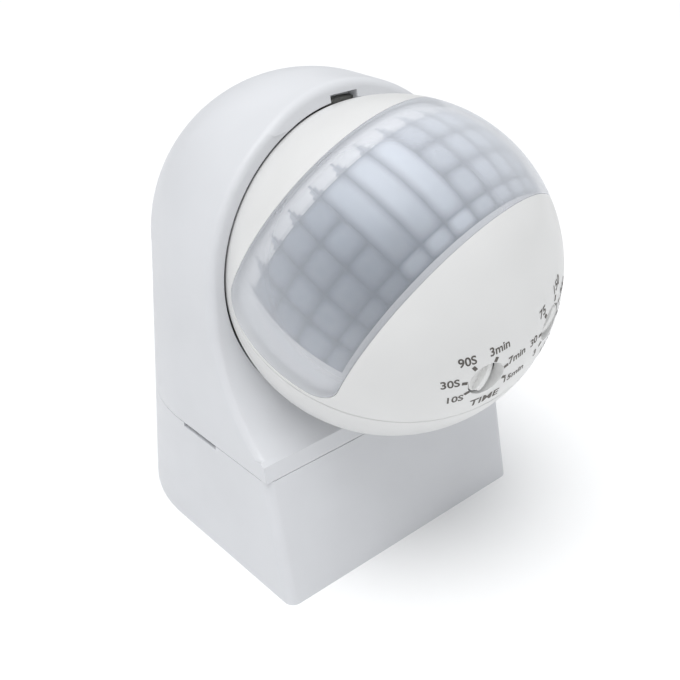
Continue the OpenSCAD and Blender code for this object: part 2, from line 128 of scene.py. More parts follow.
class LensSettings(bpy.types.PropertyGroup):
    haze: bpy.props.FloatProperty(
        name="Haze", description="How milky the lens sheet is, seen square on",
        default=0.13, min=0, max=1, subtype="FACTOR")
    sheet_colour: bpy.props.FloatVectorProperty(
        name="Sheet colour", description="Colour of the milky sheet",
        subtype="COLOR", size=3, min=0, max=1, default=(0.74, 0.76, 0.80))
    cell_colour: bpy.props.FloatVectorProperty(
        name="Cell colour", description="Colour of the middle of each lens cell",
        subtype="COLOR", size=3, min=0, max=1, default=(0.33, 0.375, 0.44))
    # Painted light: the pale colour the cells are painted where they should look lit.
    painted_light_colour: bpy.props.FloatVectorProperty(
        name="Glow colour", description="Colour of the cells that light up most",
        subtype="COLOR", size=3, min=0, max=1, default=(0.72, 0.77, 0.85))
    joint_colour: bpy.props.FloatVectorProperty(
        name="Joint colour", description="Colour of the joints between the cells",
        subtype="COLOR", size=3, min=0, max=1, default=(0.17, 0.20, 0.25))
    border_colour: bpy.props.FloatVectorProperty(
        name="Border colour", description="Colour of the frosted border",
        subtype="COLOR", size=3, min=0, max=1, default=(0.82, 0.825, 0.845))


class DialSettings(bpy.types.PropertyGroup):
    print_colour: bpy.props.FloatVectorProperty(
        name="Print colour", description="Colour of the printed scales",
        subtype="COLOR", size=3, min=0, max=1, default=(0.10, 0.09, 0.08))
    figure_size: bpy.props.FloatProperty(
        name="Figure size", description="Height of the printed figures' type",
        default=2.5 * MM, min=0, unit="LENGTH")


def stage_settings():
    return bpy.context.scene.sensor_stage


def shell_settings():
    return bpy.context.scene.sensor_shells


def lens_settings():
    return bpy.context.scene.sensor_lens


def dial_settings():
    return bpy.context.scene.sensor_dials


# ---------------------------------------------------------------- shapes


def node_copy(name, whole_below):
    """A CAD node's mesh with its doubles merged, and its flat faces made whole up to a height."""
    bm = bmesh.new()
    bm.from_mesh(NODES[name].data)
    bmesh.ops.remove_doubles(bm, verts=bm.verts, dist=2e-6)
    low = [e for e in bm.edges if max(v.co.z for v in e.verts) < whole_below]
    bmesh.ops.dissolve_limit(bm, angle_limit=FLAT, verts=[], edges=low)
    return bm


def put_in_scene(name, bm):
    """Turns a shape into an object at the origin."""
    mesh = bpy.data.meshes.new(name)
    bm.to_mesh(mesh)
    bm.free()
    piece = bpy.data.objects.new(name, mesh)
    bpy.context.scene.collection.objects.link(piece)
    return piece


def finish_piece(name, bm, body, material, nodes=(), sharp=SHARP):
    """Shades the shape, gives it its finish, ties it to its body and hides the CAD nodes it stands for.
    """
    for face in bm.faces:
        face.smooth = True
    for edge in bm.edges:
        edge.smooth = len(edge.link_faces) == 2 and edge.calc_face_angle(math.pi) < sharp
    piece = put_in_scene(name, bm)
    piece.data.materials.append(material)
    weights = piece.modifiers.new("even shading", "WEIGHTED_NORMAL")
    weights.keep_sharp = True
    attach(piece, body)
    if nodes:
        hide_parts(*nodes)
    return piece


def combine(first, second, operation):
    """One closed shape from two, by the exact solver."""
    a, b = put_in_scene("blank", first), put_in_scene("cutter", second)
    step = a.modifiers.new("combine", "BOOLEAN")
    step.operation, step.solver, step.object = operation, "EXACT", b
    depsgraph = bpy.context.evaluated_depsgraph_get()
    depsgraph.update()
    mesh = bpy.data.meshes.new_from_object(a.evaluated_get(depsgraph))
    result = bmesh.new()
    result.from_mesh(mesh)
    for piece in (a, b):
        bpy.data.meshes.remove(piece.data)
    bpy.data.meshes.remove(mesh)
    bmesh.ops.remove_doubles(result, verts=result.verts, dist=SAME_POINT)
    return result


def round_edges(bm, edges, width, segments=3):
    if edges:
        bmesh.ops.bevel(bm, geom=list(edges), offset=width, offset_type="OFFSET", affect="EDGES",
                        segments=segments, profile=0.5, material=-1, clamp_overlap=False)


def sharp_edges(bm, keep, angle=SHARP):
    """The convex sharp edges whose middle the test keeps."""
    found = []
    for edge in bm.edges:
        if len(edge.link_faces) == 2 and edge.is_convex and edge.calc_face_angle(0) > angle:
            middle = (edge.verts[0].co + edge.verts[1].co) / 2
            if keep(middle):
                found.append(edge)
    return found


def scaled(x, y, z):
    return Matrix.Diagonal((x, y, z, 1))


def whole(bm):
    return bm.verts[:] + bm.edges[:] + bm.faces[:]


def solid_ball(radius):
    bm = bmesh.new()
    bmesh.ops.create_uvsphere(bm, u_segments=BALL_STEPS, v_segments=BALL_STEPS // 2, radius=radius)
    return bm


def solid_bar(radius, low, high, steps=48):
    """A round bar along Z."""
    bm = bmesh.new()
    bmesh.ops.create_cone(bm, cap_ends=True, segments=steps, radius1=radius, radius2=radius,
                          depth=high - low, matrix=Matrix.Translation((0, 0, (low + high) / 2)))
    return bm


def solid_block(low, high):
    bm = bmesh.new()
    size = [b - a for a, b in zip(low, high)]
    middle = [(a + b) / 2 for a, b in zip(low, high)]
    bmesh.ops.create_cube(bm, size=1, matrix=Matrix.Translation(middle) @ scaled(*size))
    return bm


def belt_block(grow):
    """The belt-shaped window as a block across the head, its two far corners rounded."""
    half, end = BELT_HALF + grow, -BELT_END + grow
    bm = solid_block((-0.05, -0.06, -half), (0.05, end, half))
    corners = [e for e in bm.edges
               if all(abs(v.co.y - end) < 1e-6 for v in e.verts)
               and abs(e.verts[0].co.x - e.verts[1].co.x) > 0.01]
    round_edges(bm, corners, BELT_CORNER, 16)
    return bm


def half_shell(front, outer, inner, gap):
    """A half of the ball's wall, closed along the parting plane, its outer rim eased."""
    side = -1 if front else 1
    parts = []
    for radius in (outer, inner):
        bm = solid_ball(radius)
        bmesh.ops.bisect_plane(bm, geom=whole(bm), dist=SAME_POINT, plane_co=(0, side * gap, 0),
                               plane_no=(0, -side, 0), clear_outer=True)
        parts.append(bm)
    bmesh.ops.reverse_faces(parts[1], faces=parts[1].faces)
    mesh = bpy.data.meshes.new("inner wall")
    parts[1].to_mesh(mesh)
    parts[1].free()
    bm = parts[0]
    bm.from_mesh(mesh)
    bpy.data.meshes.remove(mesh)
    bmesh.ops.bridge_loops(bm, edges=[e for e in bm.edges if e.is_boundary])
    bmesh.ops.recalc_face_normals(bm, faces=bm.faces)
    rim = [e for e in bm.edges if all(abs(v.co.y - side * gap) < 1e-6
                                      and v.co.length > outer - 0.2 * MM for v in e.verts)]
    round_edges(bm, rim, 0.28 * MM, 3)
    return bm


# ---------------------------------------------------------------- finishes


def new_finish(name, colour, roughness, **sockets):
    """A principled finish; numbers that are the same all over sit on its own sockets."""
    material = bpy.data.materials.new(name)
    material.use_nodes = True
    nodes, links = material.node_tree.nodes, material.node_tree.links
    shader = nodes["Principled BSDF"]
    shader.inputs["Base Color"].default_value = (*colour, 1)
    shader.inputs["Roughness"].default_value = roughness
    for key, value in sockets.items():
        shader.inputs[key.replace("_", " ").title()].default_value = value
    place = nodes.new("ShaderNodeTexCoord")
    return material, nodes, links, shader, place


def noise(nodes, links, place, scale, detail=2.0, rough=0.5):
    texture = nodes.new("ShaderNodeTexNoise")
    texture.inputs["Scale"].default_value = scale
    texture.inputs["Detail"].default_value = detail
    texture.inputs["Roughness"].default_value = rough
    links.new(place.outputs["Object"], texture.inputs["Vector"])
    return texture


def ramp(nodes, links, source, low, high, start=0.35, end=0.65):
    """Turns a 0..1 value into a colour or a grey between two ends."""
    shades = nodes.new("ShaderNodeValToRGB")
    for element, place, shade in zip(shades.color_ramp.elements, (start, end), (low, high)):
        element.position = place
        element.color = (*shade, 1) if isinstance(shade, tuple) else (shade, shade, shade, 1)
    links.new(source, shades.inputs["Fac"])
    return shades.outputs["Color"]


def tint(colour, factor):
    return tuple(min(1.0, c * factor) for c in colour)


def relief(nodes, links, shader, texture, strength, distance):
    """Lets a texture raise the surface by a little."""
    bump = nodes.new("ShaderNodeBump")
    bump.inputs["Strength"].default_value = strength
    bump.inputs["Distance"].default_value = distance
    links.new(texture.outputs["Fac"], bump.inputs["Height"])
    links.new(bump.outputs["Normal"], shader.inputs["Normal"])


def moulded_finish(name, colour, roughness, grain=2600, depth=0.05, spread=0.03, **sockets):
    """Moulded plastic: fine spark-eroded grain, with slight flow shading and polish."""
    material, nodes, links, shader, place = new_finish(name, colour, roughness, **sockets)
    flow = noise(nodes, links, place, 38, 3).outputs["Fac"]
    links.new(ramp(nodes, links, flow, tint(colour, 1 - spread), tint(colour, 1 + spread / 2)),
              shader.inputs["Base Color"])
    wear = noise(nodes, links, place, 160, 4).outputs["Fac"]
    links.new(ramp(nodes, links, wear, roughness - 0.04, roughness + 0.05), shader.inputs["Roughness"])
    relief(nodes, links, shader, noise(nodes, links, place, grain, 2), depth, 0.05 * MM)
    return material


def plated_finish(name, colour, roughness):
    """Plated metal with faint brushing and handling marks."""
    material, nodes, links, shader, place = new_finish(name, colour, roughness, metallic=1.0)
    marks = noise(nodes, links, place, 900, 4).outputs["Fac"]
    links.new(ramp(nodes, links, marks, tint(colour, 0.86), colour), shader.inputs["Base Color"])
    links.new(ramp(nodes, links, marks, roughness - 0.08, roughness + 0.12), shader.inputs["Roughness"])
    return material


def board_finish():
    """Solder mask with a faint weave and copper planes showing through as lighter green."""
    material, nodes, links, shader, place = new_finish("circuit board", (0.02, 0.13, 0.05), 0.35)
    tracks = nodes.new("ShaderNodeTexVoronoi")
    tracks.inputs["Scale"].default_value = 330
    tracks.distance = "MANHATTAN"
    links.new(place.outputs["Object"], tracks.inputs["Vector"])
    light, dark = (0.03, 0.19, 0.07), (0.015, 0.11, 0.04)
    links.new(ramp(nodes, links, tracks.outputs["Distance"], light, dark, 0.3, 0.4),
              shader.inputs["Base Color"])
    relief(nodes, links, shader, noise(nodes, links, place, 1800, 2), 0.15, 0.05 * MM)
    return material


def lead_finish():
    """Insulation of the three leads, one colour a lead across X."""
    material, nodes, links, shader, place = new_finish("lead insulation", (0.2, 0.1, 0.05), 0.4)
    split = nodes.new("ShaderNodeSeparateXYZ")
    links.new(place.outputs["Object"], split.inputs["Vector"])
    span = nodes.new("ShaderNodeMapRange")
    span.inputs["From Min"].default_value = -3 * MM
    span.inputs["From Max"].default_value = 3 * MM
    links.new(split.outputs["X"], span.inputs["Value"])
    shades = nodes.new("ShaderNodeValToRGB")
    shades.color_ramp.interpolation = "CONSTANT"
    shades.color_ramp.elements[0].color = (0.16, 0.055, 0.02, 1)
    shades.color_ramp.elements[1].position = 0.66
    shades.color_ramp.elements[1].color = (0.03, 0.12, 0.42, 1)
    middle = shades.color_ramp.elements.new(0.33)
    middle.color = (0.5, 0.42, 0.03, 1)
    links.new(span.outputs["Result"], shades.inputs["Fac"])
    links.new(shades.outputs["Color"], shader.inputs["Base Color"])
    rub = noise(nodes, links, place, 400, 3)
    links.new(ramp(nodes, links, rub.outputs["Fac"], 0.34, 0.48), shader.inputs["Roughness"])
    return material


def milky_finish():
    """The lens sheet: a milky skin that hides more of what is behind it at a slant."""
    look = lens_settings()
    material, nodes, links, shader, place = new_finish("milky polyethylene", look.sheet_colour, 0.3)
    slant = nodes.new("ShaderNodeLayerWeight")
    slant.inputs["Blend"].default_value = 0.32
    cover = nodes.new("ShaderNodeMapRange")
    cover.inputs["To Min"].default_value = look.haze
    cover.inputs["To Max"].default_value = 0.85
    links.new(slant.outputs["Facing"], cover.inputs["Value"])
    links.new(cover.outputs["Result"], shader.inputs["Alpha"])
    relief(nodes, links, shader, noise(nodes, links, place, 260, 2), 0.12, 0.1 * MM)
    return material


def cell_finish():
    """The moulded cells, coloured by three attributes of their own, one of them painted light.

    One attribute is painted light that makes a cell paler, joint is how near the joint round it is, and
    frost is 1 on the border.
    """
    look = lens_settings()
    material, nodes, links, shader, place = new_finish("lens cells", look.cell_colour, 0.5)
    cloud = noise(nodes, links, place, 70, 2).outputs["Fac"]
    colour = ramp(nodes, links, cloud, tint(look.cell_colour, 0.86), tint(look.cell_colour, 1.12))
    # The first attribute paints light: it makes cells paler where they should look lit.
    for name, over in (("glow", look.painted_light_colour), ("joint", look.joint_colour),
                       ("frost", look.border_colour)):
        share = nodes.new("ShaderNodeAttribute")
        share.attribute_name = name
        blend = nodes.new("ShaderNodeMix")
        blend.data_type = "RGBA"
        blend.inputs["B"].default_value = (*over, 1)
        links.new(share.outputs["Fac"], blend.inputs["Factor"])
        links.new(colour, blend.inputs["A"])
        colour = blend.outputs["Result"]
    links.new(colour, shader.inputs["Base Color"])
    return material


FINISHES = {}


def finish_of(name):
    """Makes each finish once, when it is first asked for."""
    if name not in FINISHES:
        FINISHES[name] = {
            "housing": lambda: moulded_finish("housing satin", shell_settings().housing_colour, 0.42),
            "head": lambda: moulded_finish("head satin", shell_settings().head_colour, 0.33, depth=0.03),
            "dial": lambda: moulded_finish("dial plastic", (0.80, 0.80, 0.79), 0.4),
            "nylon": lambda: moulded_finish("terminal nylon", (0.72, 0.70, 0.63), 0.45, spread=0.06),
            "stud": lambda: moulded_finish("stud nylon", (0.60, 0.60, 0.58), 0.42, spread=0.05),
            "plate": lambda: moulded_finish("plate plastic", (0.74, 0.75, 0.76), 0.46),
            "inner": lambda: moulded_finish("inner white", (0.78, 0.78, 0.77), 0.5),
            "rubber": lambda: moulded_finish("grey rubber", (0.20, 0.20, 0.19), 0.75, grain=1400,
                                             depth=0.3, spread=0.12),
            "steel": lambda: plated_finish("plated steel", (0.66, 0.67, 0.69), 0.32),
            "brass": lambda: plated_finish("brass", (0.72, 0.50, 0.20), 0.3),
            "can": lambda: plated_finish("sensor can", (0.74, 0.73, 0.70), 0.24),
            "board": board_finish,
            "leads": lead_finish,
            "blue": lambda: moulded_finish("component blue", (0.03, 0.13, 0.42), 0.38, spread=0.1),
            "yellow": lambda: moulded_finish("component yellow", (0.60, 0.42, 0.06), 0.4, spread=0.1),
            "dark": lambda: moulded_finish("component dark", (0.03, 0.035, 0.06), 0.35, spread=0.15),
            "red": lambda: moulded_finish("indicator red", (0.55, 0.03, 0.02), 0.15, depth=0.02,
                                          transmission_weight=0.4),
            "milky": milky_finish,
            "cells": cell_finish,
            "print": lambda: moulded_finish("scale print", dial_settings().print_colour, 0.55,
                                            depth=0.1, spread=0.2),
        }[name]()
    return FINISHES[name]


# ---------------------------------------------------------------- pieces


class SENSOR_OT_stage(bpy.types.Operator):
    """Makes the floor, the soft lights and the camera"""
    bl_idname = "sensor.stage"
    bl_label = "Floor, lights and camera"

    floor_half = 6
    lamp_place, lamp_size = Vector((-1.0, -0.5, 3.5)), 2.6
    lamp_aim = Vector((0, -0.04, 0))

    def execute(self, context):
        look = stage_settings()
        self.floor(look.floor_colour)
        self.room(look)
        self.softbox(look.lamp_power)
        self.camera(look.lens_length)
        context.scene.view_settings.view_transform = "Standard"
        context.scene.view_settings.look = "None"
        return {"FINISHED"}

    def floor(self, colour):
        bm = bmesh.new()
        bmesh.ops.create_grid(bm, x_segments=2, y_segments=2, size=self.floor_half,
                              matrix=Matrix.Translation((0, 0, FLOOR_Z)))
        floor = put_in_scene("floor", bm)
        material, nodes, links, shader, place = new_finish("floor", colour, 0.9)
        cloud = noise(nodes, links, place, 3).outputs["Fac"]
        links.new(ramp(nodes, links, cloud, tint(colour, 0.995), tuple(colour)),
                  shader.inputs["Base Color"])
        floor.data.materials.append(material)

    def room(self, look):
        """Even light from all round, weaker towards the floor."""
        world = bpy.data.worlds.new("soft room")
        world.use_nodes = True
        nodes, links = world.node_tree.nodes, world.node_tree.links
        sky = nodes["Background"]
        sky.inputs["Color"].default_value = (0.97, 0.985, 1.0, 1)
        direction = nodes.new("ShaderNodeTexCoord")
        split = nodes.new("ShaderNodeSeparateXYZ")
        rise = nodes.new("ShaderNodeMapRange")
        rise.inputs["To Min"].default_value = look.sky_strength * look.horizon_share
        rise.inputs["To Max"].default_value = look.sky_strength
        links.new(direction.outputs["Generated"], split.inputs["Vector"])
        links.new(split.outputs["Z"], rise.inputs["Value"])
        links.new(rise.outputs["Result"], sky.inputs["Strength"])
        bpy.context.scene.world = world

    def softbox(self, power):
        lamp = bpy.data.lights.new("softbox", "AREA")
        lamp.shape, lamp.size, lamp.energy = "DISK", self.lamp_size, power
        holder = bpy.data.objects.new("softbox", lamp)
        holder.location = self.lamp_place
        holder.rotation_euler = (self.lamp_aim - self.lamp_place).to_track_quat("-Z", "Y").to_euler()
        bpy.context.scene.collection.objects.link(holder)

    def camera(self, length):
        flat = math.cos(CAMERA_HEIGHT)
        back = Vector((math.sin(CAMERA_AZIMUTH) * flat, -math.cos(CAMERA_AZIMUTH) * flat,
                       math.sin(CAMERA_HEIGHT)))
        right = Vector((math.cos(CAMERA_AZIMUTH), math.sin(CAMERA_AZIMUTH), 0))
        up = back.cross(right)
        right = right * math.cos(CAMERA_LEAN) + up * math.sin(CAMERA_LEAN)
        up = back.cross(right)
        data = bpy.data.cameras.new("camera")
        data.lens, data.sensor_width, data.clip_start, data.clip_end = length, 36, 0.01, 20
        camera = bpy.data.objects.new("camera", data)
        camera.location = CAMERA_PLACE
        camera.rotation_euler = Matrix((right, up, back)).transposed().to_euler()
        bpy.context.scene.collection.objects.link(camera)
        bpy.context.scene.camera = camera


class SENSOR_OT_housing(bpy.types.Operator):
    """Rounds the edges of the arched upper housing"""
    bl_idname = "sensor.housing"
    bl_label = "Upper housing"

    whole_below = -5 * MM                  # the walls under the arch, whose edges are straight
    rim_behind = -30 * MM                  # the rim lies in front of this plane
    square_foot = 4 * MM                   # height above the seam that keeps its square corner

    def execute(self, context):
        bm = node_copy("upper_housing", self.whole_below)
        round_edges(bm, sharp_edges(bm, self.on_rim), shell_settings().rim_fillet, 5)
        finish_piece("housing_shell", bm, "housing", finish_of("housing"),
                     ["upper_housing"])
        return {"FINISHED"}

    def on_rim(self, point):
        off_arch = math.hypot(point.x, point.z - BALL_CENTRE.z)
        return (point.y < self.rim_behind and point.z > SEAM_Z + self.square_foot
                and max(abs(point.x), off_arch) > HALF_WIDTH - 0.5 * MM)


class SENSOR_OT_cover(bpy.types.Operator):
    """Rounds the edges of the pull-off terminal cover"""
    bl_idname = "sensor.cover"
    bl_label = "Terminal cover"

    def execute(self, context):
        bm = node_copy("terminal_cover", SEAM_Z + 1 * MM)
        round_edges(bm, sharp_edges(bm, self.upright), shell_settings().box_fillet, 6)
        finish_piece("cover_shell", bm, "cover", finish_of("housing"),
                     ["terminal_cover"])
        return {"FINISHED"}

    def upright(self, point):
        return (point.y < -50 * MM and abs(point.x) > HALF_WIDTH - 0.2 * MM
                and FLOOR_Z + 1 * MM < point.z < SEAM_Z - 1.5 * MM)


class SENSOR_OT_ball_shells(bpy.types.Operator):
    """Makes the two half shells of the ball, with the lens opening, dial windows and tilt slot"""
    bl_idname = "sensor.ball_shells"
    bl_label = "Ball half shells"

    def execute(self, context):
        inner = BALL_R - SHELL_WALL
        front = half_shell(True, BALL_R, inner, 0)
        front = combine(front, belt_block(0), "DIFFERENCE")
        for side in (-1, 1):
            window = solid_bar(DIAL_HOLE_R, -40 * MM, -24 * MM, 64)
            window.transform(BOARD_LEAN @ Matrix.Translation((side * DIAL_X, 0, 0)))
            front = combine(front, window, "DIFFERENCE")
        front.transform(HEAD)
        finish_piece("front_ball_shell", front, "head", finish_of("head"), ["front_shell"])

        rear = half_shell(False, BALL_R, inner, 0.1 * MM)
        rear = combine(rear, self.tilt_slot(), "DIFFERENCE")
        rear.transform(HEAD)
        finish_piece("rear_ball_shell", rear, "head", finish_of("head"), ["rear_shell"])
        return {"FINISHED"}

    def tilt_slot(self):
        """Sector that the keyed stud slides along as the head tilts."""
        half, near, far = 5.2 * MM, 20 * MM, 45 * MM
        first, last = math.radians(-41), math.radians(78)
        thin = 0.001 * MM
        bm = solid_block((-half, near, -thin), (half, far, thin))
        bmesh.ops.delete(bm, geom=[f for f in bm.faces if abs(f.normal.z) < 0.5], context="FACES_ONLY")
        bmesh.ops.delete(bm, geom=[f for f in bm.faces if f.normal.z > 0.5], context="FACES")
        bmesh.ops.rotate(bm, verts=bm.verts, cent=ORIGIN, matrix=Matrix.Rotation(first, 3, "X"))
        bmesh.ops.spin(bm, geom=whole(bm), cent=ORIGIN, axis=X_AXIS, angle=last - first, steps=24,
                       use_duplicate=False)
        bmesh.ops.recalc_face_normals(bm, faces=bm.faces)
        return bm


class SENSOR_OT_lens(bpy.types.Operator):
    """Makes the milky lens sheet and the moulded cells behind it"""
    bl_idname = "sensor.lens"
    bl_label = "Lens"

    # Columns round the belt start at first_column and are one pitch wide, in degrees; rows are the
    # heights of the joints across the belt, in millimetres. The border runs on past both.
    first_column, pitch, columns = -72.4, 10.7, 13
    rows = (-13.0, -9.7, -3.3, 3.3, 9.7, 13.0)
    border_turn, border_height = 87.6, 14.3
    lip_width, lip_rise = 0.2, 0.6 * MM    # the border's edge turns up towards the sheet
    strips = (4, 5, 6)                     # columns whose three middle rows are one long cell
    long_cell = 12                         # a cell taller than this is a long one, in millimetres
    cell_r = 32.45 * MM
    crown = 0.4 * MM

    # Painted light, how pale the cells are painted: the long ones step up to the strip value, the ones
    # past them rise on, and every cell grows paler upwards.
    strip_glow, strip_step = 0.85, 0.3
    side_glow, side_step = 0.45, 0.08
    tilt_painted_light = 0.012                      # how much paler a cell grows upwards, a millimetre

    def execute(self, context):
        sheet = combine(solid_ball(BALL_R), belt_block(-0.1 * MM), "INTERSECT")
        sheet = combine(sheet, solid_ball(BALL_R - LENS_WALL), "DIFFERENCE")
        sheet.transform(HEAD)
        finish_piece("lens_sheet", sheet, "head", finish_of("milky"), ["lens"])

        cells = bmesh.new()
        joint = cells.verts.layers.float.new("joint")
        frost = cells.verts.layers.float.new("frost")
        glow = cells.verts.layers.float.new("glow")
        for column in range(self.columns):
            left = self.first_column + column * self.pitch
            for low, high in self.cells_in(column):
                self.add_cell(cells, (joint, frost, glow), left, left + self.pitch, low, high,
                              self.painted_light_of(column))
        end, foot, top = self.border_turn, self.rows[0], self.rows[-1]
        right = self.first_column + self.columns * self.pitch
        for left, far in ((-end, self.first_column), (right, end)):
            self.add_border(cells, frost, left, far, foot, top)
        for side, low, high in ((-1, -self.border_height, foot), (1, top, self.border_height)):
            self.add_border(cells, frost, -end, end, low, high)
            edge = side * self.border_height
            self.add_border(cells, frost, -end, end, edge, edge + side * self.lip_width, self.lip_rise)
        cells.transform(HEAD)
        finish_piece("lens_cells", cells, "head", finish_of("cells"), sharp=math.pi)
        return {"FINISHED"}

    def cells_in(self, column):
        """The lower and upper joint of each cell in a column."""
        rows = self.rows
        if column in self.strips:
            rows = rows[:2] + rows[4:]
        return list(zip(rows, rows[1:]))

    # How much painted light makes a column's cells paler.
    def painted_light_of(self, column):
        last = self.strips[-1]
        if column in self.strips:
            return self.strip_glow * (1 - self.strip_step * (last - column))
        if column > last:
            return self.side_glow + self.side_step * (column - last)
        return 0.0

    def bend(self, vert, turn, height, radius):
        """Puts a flat grid's vertex on the ball, by its turn round the belt and height across it."""
        level = math.sqrt(radius * radius - height * height)
        vert.co = Vector((level * math.sin(turn), -level * math.cos(turn), height))

    def add_cell(self, bm, layers, left, right, low, high, painted_light_share):
        """One domed cell; s and t run from -1 to 1 across it and up it."""
        joint, frost, glow = layers
        long = high - low >= self.long_cell
        in_top_row = low == self.rows[-2]
        grid = bmesh.ops.create_grid(bm, x_segments=12, y_segments=30 if long else 12, size=1)["verts"]
        for vert in grid:
            s, t = vert.co.x, vert.co.y
            turn = math.radians((left + right) / 2 + s * (right - left) / 2)
            height = ((low + high) / 2 + t * (high - low) / 2) * MM
            dome = (1 - s * s * s * s) * (1 - t ** 4)
            from_middle = (abs(s) ** 3 + abs(t) ** (12 if long else 3)) ** (1 / 3)
            vert[joint] = max(0.0, min(1.0, (from_middle - 0.45) / 0.65)) ** 1.4
            # Painted light: the cell is painted paler by its column's share, and paler still upwards.
            vert[glow] = max(0.0, min(1.0, painted_light_share + self.tilt_painted_light * t * (high - low)))
            if in_top_row:
                scallop = s * s * 0.9 + (1 - t) * 0.5 * 0.55
                vert[frost] = 1.0 if scallop < 0.85 else 0.25
            self.bend(vert, turn, height, self.cell_r + self.crown * dome)

    def add_border(self, bm, frost, left, right, low, high, rise=0.0):
        """One frosted strip with a segment every 3 degrees; it rises on its way from low to high."""
        grid = bmesh.ops.create_grid(bm, x_segments=max(2, int((right - left) / 3)), y_segments=6,
                                     size=1)["verts"]
        for vert in grid:
            s, t = vert.co.x, vert.co.y
            vert[frost] = 1.0
            self.bend(vert, math.radians((left + right) / 2 + s * (right - left) / 2),
                      ((low + high) / 2 + t * (high - low) / 2) * MM, self.cell_r + rise * (t + 1) / 2)


class SENSOR_OT_wiper_ring(bpy.types.Operator):
    """Makes the grey wiper ring with slanted ribs behind the rim"""
    bl_idname = "sensor.wiper_ring"
    bl_label = "Wiper ring"

    inner = 30.45 * MM
    rib_count, rib_slant = 150, math.radians(38)
    rib_size = (0.32 * MM, 0.24 * MM, 0.85 * MM)
    rib_sunk = 0.02 * MM                   # how far a rib's middle lies behind the ring's face

    def execute(self, context):
        low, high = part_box("ball_seal")
        outer, back = (high.x - low.x) / 2, high.y
        front = low.y + self.rib_size[1] / 2
        inner = self.inner
        bm = bmesh.new()
        corners = [bm.verts.new((r, y, 0)) for r, y in
                   ((inner, front), (outer, front), (outer, back), (inner - 1 * MM, back))]
        face = bm.faces.new(corners)
        bmesh.ops.spin(bm, geom=face.verts[:] + face.edges[:], cent=ORIGIN, axis=Y_AXIS,
                       angle=math.tau, steps=128, use_merge=True)
        bmesh.ops.delete(bm, geom=[f for f in bm.faces if len(f.verts) == 4 and abs(f.normal.z) > 0.999
                                   and abs(f.calc_center_median().z) < 1e-6], context="FACES_ONLY")
        bmesh.ops.remove_doubles(bm, verts=bm.verts, dist=SAME_POINT)
        bmesh.ops.recalc_face_normals(bm, faces=bm.faces)
        on_ring = Matrix.Translation((0, front + self.rib_sunk, (inner + outer) / 2))
        rib = on_ring @ Matrix.Rotation(self.rib_slant, 4, "Y") @ scaled(*self.rib_size)
        for k in range(self.rib_count):
            turn = Matrix.Rotation(math.tau * k / self.rib_count, 4, "Y")
            bmesh.ops.create_cube(bm, size=1, matrix=turn @ rib)
        bm.transform(Matrix.Translation((0, 0, BALL_CENTRE.z)))
        finish_piece("wiper_ring", bm, "housing", finish_of("rubber"), ["ball_seal"])
        return {"FINISHED"}


